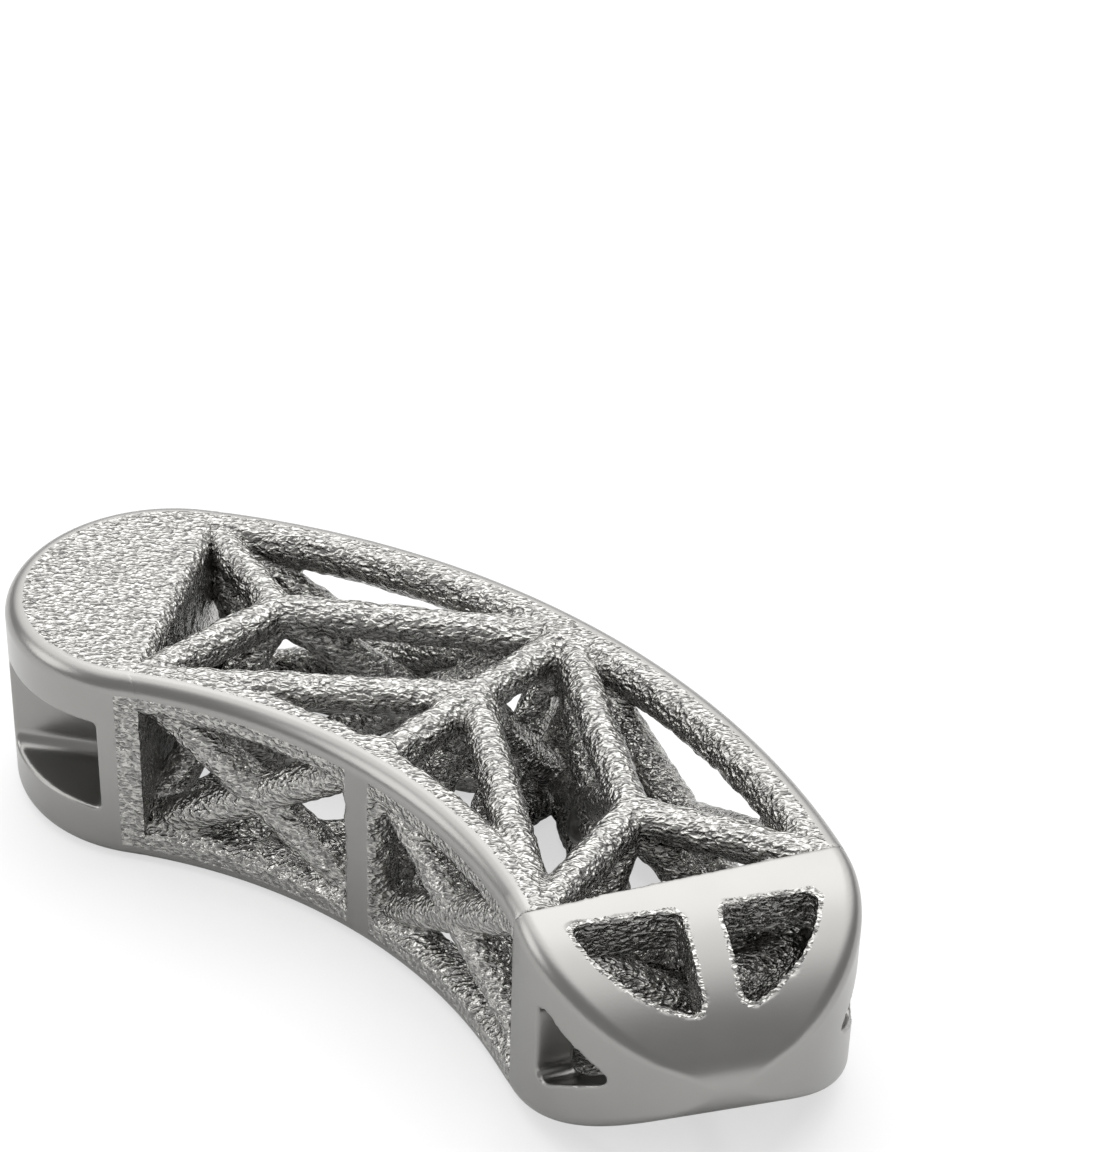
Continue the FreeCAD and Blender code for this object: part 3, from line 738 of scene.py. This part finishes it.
def satin_metal():
    """Titanium alloy, blasted and lightly polished: even grey with a soft sheen and faint cloud."""
    material, tree = new_material("titanium_satin")
    if tree is None:
        return material
    looks = bpy.context.scene.cage_finishes
    place = add_node(tree, "ShaderNodeTexCoord")
    cloud = add_node(
        tree, "ShaderNodeTexNoise", None,
        {"Vector": place.outputs["Object"], "Scale": 420.0, "Detail": 3.0, "Roughness": 0.5},
    )
    grit = add_node(
        tree, "ShaderNodeTexNoise", None,
        {"Vector": place.outputs["Object"], "Scale": 14000.0, "Detail": 2.0, "Roughness": 0.6},
    )
    paler = tuple(min(1.0, level * 1.1) for level in looks.satin)
    darker = tuple(level * 0.93 for level in looks.satin)
    colour = add_node(
        tree, "ShaderNodeMix", {"data_type": "RGBA"},
        {0: cloud.outputs["Fac"], 6: (*darker, 1.0), 7: (*paler, 1.0)},
    )
    gloss = add_node(
        tree, "ShaderNodeMapRange", None,
        {
            "Value": cloud.outputs["Fac"],
            "To Min": looks.satin_gloss - 0.04,
            "To Max": looks.satin_gloss + 0.04,
        },
    )
    bump = add_node(
        tree, "ShaderNodeBump", None,
        {"Strength": 0.12, "Distance": 0.01 * MM, "Height": grit.outputs["Fac"]},
    )
    show_metal(tree, colour.outputs[2], gloss.outputs["Result"], bump.outputs["Normal"])
    return material


class CAGE_OT_truss(bpy.types.Operator):
    """Open truss between the tail block and the nose shell, fused from its bars"""

    bl_idname = "cage.truss"
    bl_label = "Truss"

    def execute(self, context):
        sizes = context.scene.cage_truss
        bm = bmesh.new()
        low = sizes.strut / 2 + STRUT_COVER
        levels = Vector((0, 0, low)), Vector((0, 0, HEIGHT - low))
        for first, last in FACE_STRUTS:
            for level in levels:
                add_bar(bm, PLACES[first] + level, PLACES[last] + level, sizes.strut / 2)
        for panels, radius in ((CROSSED_PANELS, sizes.strut / 2), (CROSSED_WALLS, sizes.brace / 2)):
            for first, last in panels:
                for near, far in (levels, levels[::-1]):
                    add_bar(bm, PLACES[first] + near, PLACES[last] + far, radius)
        for name, joint in PLACES.items():
            if not name.endswith("_brace"):
                for level in levels:
                    add_ball(bm, joint + level, sizes.strut / 2)
        for joint, level, (along, across) in NOSE_BARS:
            inner_end = plan_point("nose", along, across) + Vector((0, 0, MIDDLE))
            for height in (level, HEIGHT - level):
                add_bar(bm, PLACES[joint] + Vector((0, 0, height)), inner_end, NOSE_BAR_RADIUS)
            add_ball(bm, inner_end, NOSE_BAR_RADIUS)
        bead = (PLACES["mid_convex"] + PLACES["nose_inner"]) / 2 + Vector((0, 0, BEAD_LEVEL))
        add_ball(bm, bead, sizes.bead)
        for centre, radius, side, wall_y in (
            (CONCAVE_CENTRE, CONCAVE_RADIUS, 1, -MID_Y),
            (CONVEX_CENTRE, CONVEX_RADIUS, -1, CROWN_Y),
        ):
            half_turn = math.atan2(END_X, END_Y - centre.y) + RIM_RUN_IN / radius
            for level in (RIM_DEPTH, HEIGHT - RIM_DEPTH):
                add_rim(bm, centre, radius + side * RIM_DEPTH, level, half_turn, sizes.rim)
            foot = Vector((0, wall_y + side * RIM_DEPTH, 0))
            add_bar(bm, foot, foot + Vector((0, 0, HEIGHT)), sizes.post)
        bmesh.ops.recalc_face_normals(bm, faces=bm.faces[:])

        mesh, points, normals = fused(shown("truss", bm), sizes.grain)
        from_bead = np.linalg.norm(points - np.array(bead), axis=1)
        share = np.clip((from_bead - sizes.bead) / BEAD_FADE, 0, 1)
        points = tucked_in_blocks(roughened(points, normals, share))
        mesh.vertices.foreach_set("co", points.ravel())

        def zone(centres, normals):
            distance, _, wall = form_distance(centres)
            edge = np.abs(centres[:, 2] - MIDDLE) > MIDDLE - ROUNDING
            on_post = np.abs(centres[:, 0]) < POST_BAND
            skin = (distance > -NEAR) & (wall > -ROUNDING) & (edge | on_post)
            from_bead = centres - np.array(bead)
            on_dome = (normals * from_bead).sum(1) > sizes.bead * BEAD_DOME
            on_bead = on_dome & (np.linalg.norm(from_bead, axis=1) < sizes.bead + NEAR)
            return skin | on_bead

        finish_piece(shown("truss", mesh), zone)
        return {"FINISHED"}


class CAGE_OT_tail_block(bpy.types.Operator):
    """Solid tail block with side recesses and the inserter bore"""

    bl_idname = "cage.tail_block"
    bl_label = "Tail block"

    def execute(self, context):
        block = shown("tail_block", outline_prism())
        over = 0.001
        zone = end_box(
            "tail", (-TAIL_WALL, -FAR, -over), (FAR, FAR, HEIGHT + over), TAIL_EDGE, 0, -TAIL_WALL
        )
        block = carve(block, "INTERSECT", shown("tail_zone", zone))
        for side in (-1, 1):
            inner, outer = sorted((side * GRIP_HALF_CORE, side * FAR))
            grip = end_box(
                "tail",
                (GRIP_START, inner, MIDDLE - GRIP_HEIGHT / 2),
                (FAR, outer, MIDDLE + GRIP_HEIGHT / 2),
                GRIP_HOLLOW, 1, side * GRIP_HALF_CORE,
            )
            block = carve(block, "DIFFERENCE", shown("grip", grip))
        bore = bmesh.new()
        axis_level = Vector((0, 0, MIDDLE))
        add_bar(
            bore,
            plan_point("tail", END_RADIUS - BORE_LENGTH, 0) + axis_level,
            plan_point("tail", FAR, 0) + axis_level,
            BORE_RADIUS,
        )
        block = carve(block, "DIFFERENCE", shown("bore", bore))

        def zone(centres, normals):
            distance, _, wall = form_distance(centres)
            skin = distance > -ON_SKIN
            along = along_end(centres, "tail")
            level = np.abs(centres[:, 2] - MIDDLE)
            flat = skin & (wall < -ROUNDING)
            strip = skin & (along < STRIP_END) & (level < MIDDLE - ROUNDING)
            rear = ~skin & (along < TAIL_EDGE - TAIL_WALL + NEAR)
            return ~(flat | strip | rear)

        skin_block(block, zone, TAIL_RELIEF)
        return {"FINISHED"}


class CAGE_OT_nose_shell(bpy.types.Operator):
    """Hollow tapered nose with its windows and side ports"""

    bl_idname = "cage.nose_shell"
    bl_label = "Nose shell"

    def execute(self, context):
        bm = bmesh.new()
        bm.from_mesh(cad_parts[NODE].data)
        bmesh.ops.scale(bm, vec=(1 / MM,) * 3, verts=bm.verts[:])
        bmesh.ops.remove_doubles(bm, verts=bm.verts[:], dist=MM)
        turn = FRAMES["nose"][1]
        cut = bmesh.ops.bisect_plane(
            bm, geom=[*bm.verts, *bm.edges, *bm.faces], dist=MM / 10,
            plane_co=plan_point("nose", -NOSE_WALL + MM, 0),
            plane_no=(math.cos(turn), math.sin(turn), 0), clear_inner=True,
        )["geom_cut"]
        open_edges = [item for item in cut if isinstance(item, bmesh.types.BMEdge) and item.is_boundary]
        bmesh.ops.triangle_fill(bm, edges=open_edges, use_beauty=True)
        bmesh.ops.recalc_face_normals(bm, faces=bm.faces[:])

        def zone(centres, normals):
            distance, _, wall = form_distance(centres)
            offset = centres[:, :2] - np.array((END_X, END_Y))
            reach = np.linalg.norm(offset, axis=1)
            level = np.abs(centres[:, 2] - MIDDLE)
            facing_in = (normals[:, :2] * offset).sum(1) < -0.5 * reach
            beside_port = (level < PORT_BAND_HALF_HEIGHT) & (reach > PORT_BAND_REACH)
            port = beside_port & ~facing_in & (along_end(centres, "nose") > PORT_BAND_START)
            burr = (window_distance(centres) < WINDOW_BURR) & (wall < -ROUNDING)
            return ((distance > -ON_SKIN) & ~burr) | port

        skin_block(shown("nose_shell", bm), zone)
        return {"FINISHED"}


class CAGE_OT_stage(bpy.types.Operator):
    """White floor, soft studio light and the camera"""

    bl_idname = "cage.stage"
    bl_label = "Stage"

    def execute(self, context):
        scene = context.scene
        scene.view_settings.view_transform = "Standard"

        bm = bmesh.new()
        bmesh.ops.create_grid(bm, x_segments=1, y_segments=1, size=FLOOR_SIZE)
        floor = shown("floor", bm)
        material, tree = new_material("floor_white")
        rays = add_node(tree, "ShaderNodeLightPath")
        share = add_node(
            tree, "ShaderNodeMath", {"operation": "MULTIPLY"},
            {0: rays.outputs["Is Camera Ray"], 1: FLOOR_GLOW},
        )
        paint = add_node(tree, "ShaderNodeBsdfDiffuse", None, {"Color": (0.85, 0.85, 0.85, 1.0)})
        glow = add_node(
            tree, "ShaderNodeEmission", None, {"Color": (1.0, 1.0, 1.0, 1.0), "Strength": 1.0}
        )
        mixed = add_node(
            tree, "ShaderNodeMixShader", None,
            {0: share.outputs[0], 1: paint.outputs[0], 2: glow.outputs[0]},
        )
        add_node(tree, "ShaderNodeOutputMaterial", None, {"Surface": mixed.outputs[0]})
        floor.data.materials.append(material)

        world = bpy.data.worlds.new("studio")
        scene.world = world
        world.use_nodes = True
        tree = world.node_tree
        tree.nodes.clear()
        place = add_node(tree, "ShaderNodeTexCoord")
        facing = add_node(
            tree, "ShaderNodeVectorMath", {"operation": "DOT_PRODUCT"},
            {0: place.outputs["Generated"], 1: tuple(toward(*SOFTBOX))},
        )
        level = add_node(
            tree, "ShaderNodeMapRange", {"interpolation_type": "SMOOTHSTEP"},
            {
                "Value": facing.outputs["Value"], "From Min": SKY_EDGE[0], "From Max": SKY_EDGE[1],
                "To Min": SKY_STRENGTH[0], "To Max": SKY_STRENGTH[1],
            },
        )
        sky = add_node(
            tree, "ShaderNodeBackground", None,
            {"Color": (1.0, 1.0, 1.0, 1.0), "Strength": level.outputs["Result"]},
        )
        add_node(tree, "ShaderNodeOutputWorld", None, {"Surface": sky.outputs[0]})

        for name, place, strength, spread in (
            ("key_light", SOFTBOX, 0.4, 40),
            ("wall_light", WALL_LIGHT, 0.7, 35),
        ):
            lamp = bpy.data.lights.new(name, "SUN")
            lamp.energy = strength
            lamp.angle = math.radians(spread)
            holder = bpy.data.objects.new(name, lamp)
            holder.rotation_mode = "QUATERNION"
            holder.rotation_quaternion = toward(*place).to_track_quat("Z", "Y")
            scene.collection.objects.link(holder)

        look = Vector(LOOK).normalized()
        level = look.cross(Vector((0, 0, 1))).normalized()
        upright = level.cross(look)
        right = math.cos(ROLL) * level + math.sin(ROLL) * upright
        up = math.cos(ROLL) * upright - math.sin(ROLL) * level
        camera = bpy.data.cameras.new("camera")
        camera.sensor_width = SENSOR
        camera.lens = FOCAL_PIXELS / LONGER_SIDE * SENSOR
        camera.clip_start = 0.01
        camera.clip_end = 20.0
        holder = bpy.data.objects.new("camera", camera)
        scene.collection.objects.link(holder)
        place = Matrix((right, up, -look)).transposed().to_4x4()
        place.translation = (Vector(TARGET) - look * DISTANCE) * MM
        holder.matrix_world = place
        scene.camera = holder
        return {"FINISHED"}


class CAGE_PT_panel(bpy.types.Panel):
    """Sidebar panel with every step of the cage"""

    bl_idname = "CAGE_PT_panel"
    bl_label = "Interbody cage"
    bl_space_type = "VIEW_3D"
    bl_region_type = "UI"
    bl_category = "Cage"

    def draw(self, context):
        for group in (context.scene.cage_truss, context.scene.cage_finishes):
            box = self.layout.box()
            for name in group.__annotations__:
                box.prop(group, name)
        for step in STEPS:
            self.layout.operator(step.bl_idname)


STEPS = (CAGE_OT_truss, CAGE_OT_tail_block, CAGE_OT_nose_shell, CAGE_OT_stage)
CLASSES = (TrussSizes, Finishes, *STEPS, CAGE_PT_panel)


def register():
    for item in CLASSES:
        bpy.utils.register_class(item)
    bpy.types.Scene.cage_truss = PointerProperty(type=TrussSizes)
    bpy.types.Scene.cage_finishes = PointerProperty(type=Finishes)


def unregister():
    del bpy.types.Scene.cage_finishes
    del bpy.types.Scene.cage_truss
    for item in reversed(CLASSES):
        bpy.utils.unregister_class(item)


def main():
    register()
    bpy.ops.cage.truss()
    bpy.ops.cage.tail_block()
    bpy.ops.cage.nose_shell()
    bpy.ops.cage.stage()


if __name__ == "__main__":
    main()
